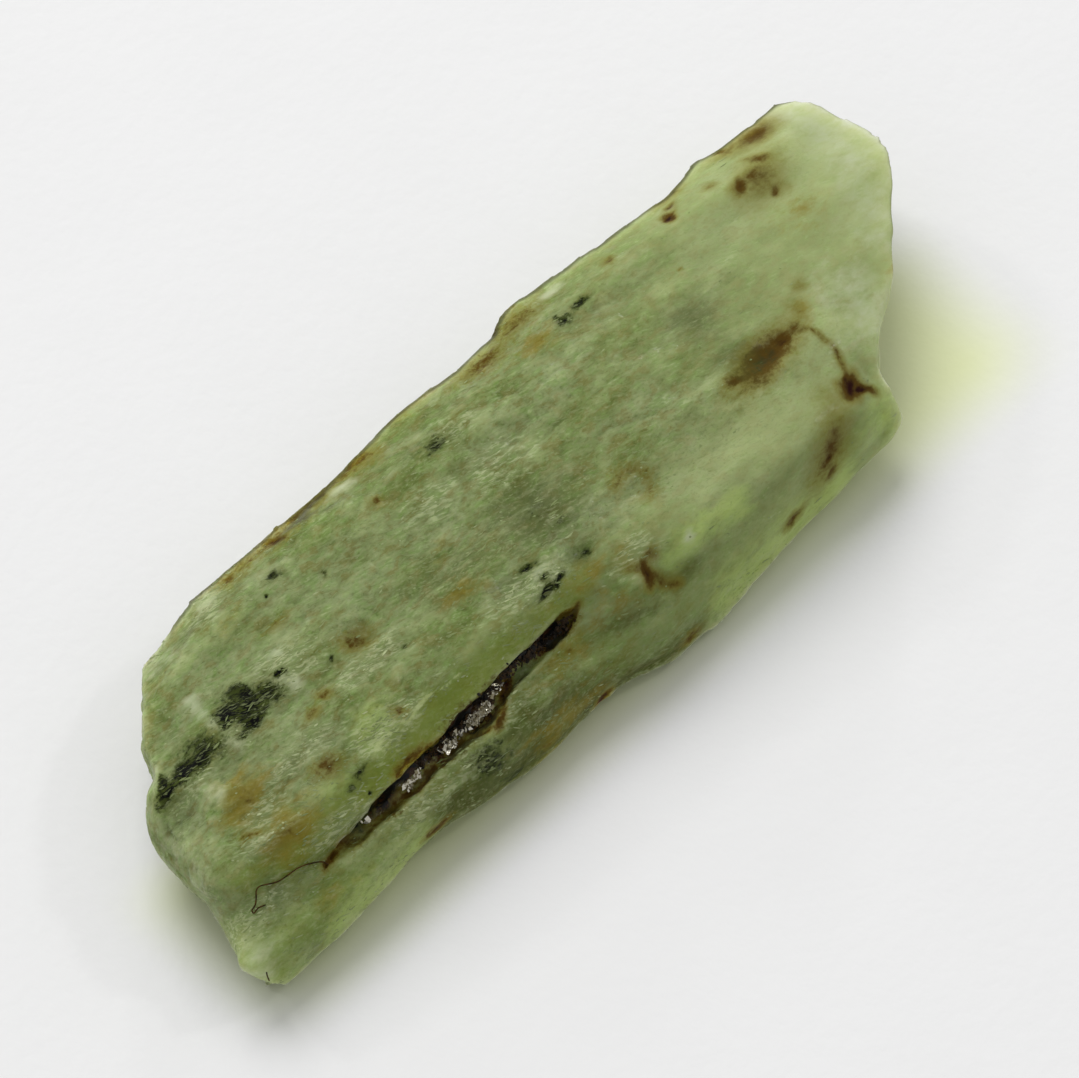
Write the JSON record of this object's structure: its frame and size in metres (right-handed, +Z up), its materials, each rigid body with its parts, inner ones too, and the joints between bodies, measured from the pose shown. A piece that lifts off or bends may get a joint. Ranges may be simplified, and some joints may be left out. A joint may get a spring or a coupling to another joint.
{
  "type": "rough kyanite crystal",
  "caption": "Rough bladed green kyanite crystal with a dark mica seam, broken ends and a flat cleavage face to rest on.",
  "frame": {"origin": "middle of the footprint, on the surface that the crystal lies on", "axes": "+X along the blade towards its pale far end, +Y across it away from the mica seam, +Z up from the resting face"},
  "size_m": [0.023, 0.0074, 0.003],
  "materials": {
    "kyanite": "translucent green stone with a frosted, finely striated skin",
    "mica": "dark glinting mica",
    "fibre": "brown dust fibre"
  },
  "bodies": {
    "root": {"kyanite_crystal": "kyanite"}
  },
  "joints": []
}
